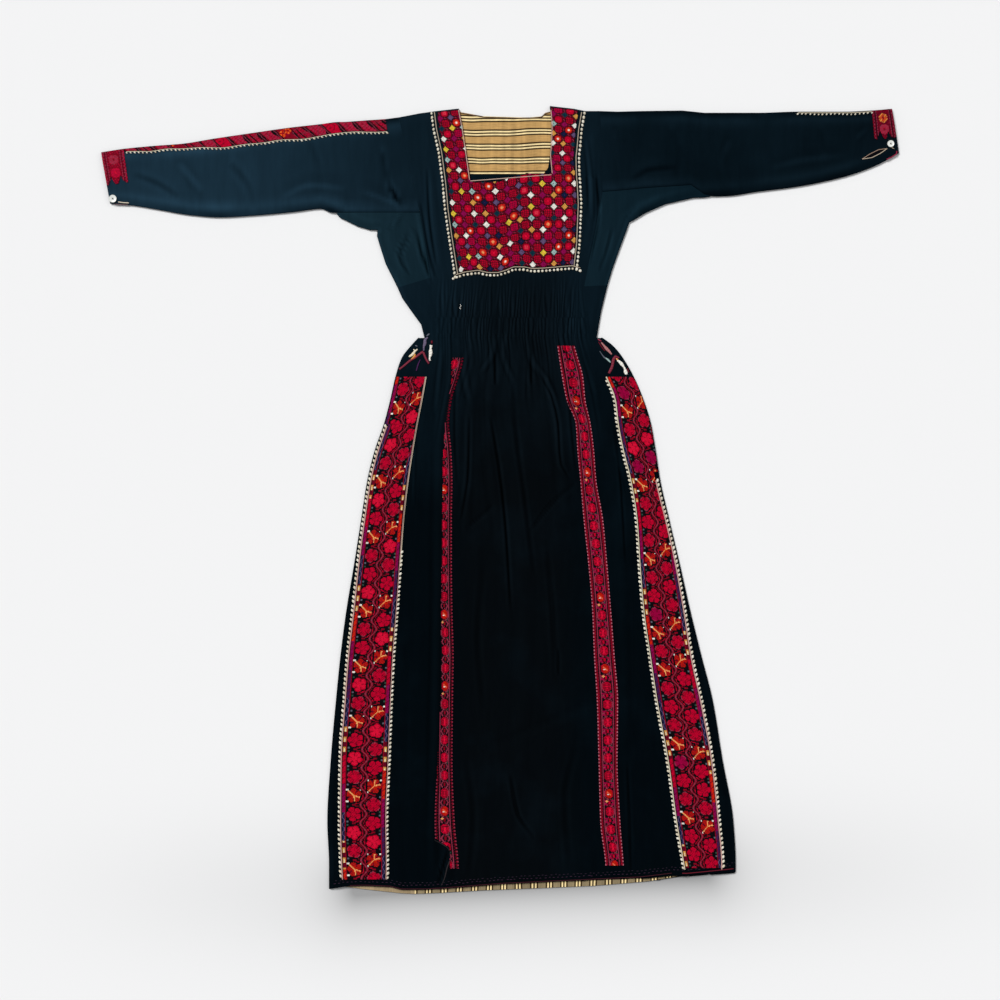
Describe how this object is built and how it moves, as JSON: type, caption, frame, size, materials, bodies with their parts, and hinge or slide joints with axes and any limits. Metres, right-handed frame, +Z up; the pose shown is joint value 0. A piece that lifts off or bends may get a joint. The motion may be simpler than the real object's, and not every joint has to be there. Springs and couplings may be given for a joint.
{
  "type": "palestinian thobe dress",
  "caption": "Long thobe dress of dark cotton sateen laid flat: square neck with cross-stitch chest panel, long sleeves, gathered waist, embroidered skirt bands edged with cream braid",
  "frame": {"origin": "centre of the underside of the dress as it lies flat", "axes": "+Z up from the surface it lies on, +Y towards the neck, +X across to the right sleeve as seen from above"},
  "size_m": [1.3941, 1.3772, 0.0105],
  "materials": {
    "cloth": "dark blue-green cotton sateen, soft sheen",
    "gusset": "slightly paler cotton sateen",
    "chest_stitch": "cross stitch in crimson and mixed silk-like cotton threads",
    "wide_stitch": "cross stitch, crimson rosettes and vine on dark cloth",
    "narrow_stitch": "cross stitch, crimson rosettes between rope borders",
    "sleeve_stitch": "cross stitch, faded crimson",
    "braid": "cream cotton braid with a row of loops",
    "piping": "cream thread piping",
    "facing": "tan cotton with brown and cream woven stripes",
    "button": "polished pearl white"
  },
  "bodies": {
    "root": {"front_bodice": "cloth", "back_bodice": "cloth", "side_bodice_left": "cloth", "side_bodice_right": "cloth", "gusset_left": "gusset", "gusset_right": "gusset", "sleeve_left": "cloth", "sleeve_right": "cloth", "skirt_front": "cloth", "skirt_back": "cloth", "side_panel_left": "cloth", "side_panel_right": "cloth", "chest_panel": "chest_stitch", "chest_braid": "braid", "wide_band_left": "wide_stitch", "wide_band_right": "wide_stitch", "wide_braid_inner_left": "braid", "wide_braid_outer_left": "braid", "wide_braid_inner_right": "braid", "wide_braid_outer_right": "braid", "narrow_band_left": "narrow_stitch", "narrow_band_right": "narrow_stitch", "sleeve_band_left": "sleeve_stitch", "sleeve_braid_left": "braid", "sleeve_braid_right": "braid", "cuff_band_left": "sleeve_stitch", "cuff_band_right": "sleeve_stitch", "slit_piping_left": "piping", "slit_piping_right": "piping", "button_left": "button", "button_right": "button", "neck_facing": "facing", "hem_facing": "facing"}
  },
  "joints": []
}
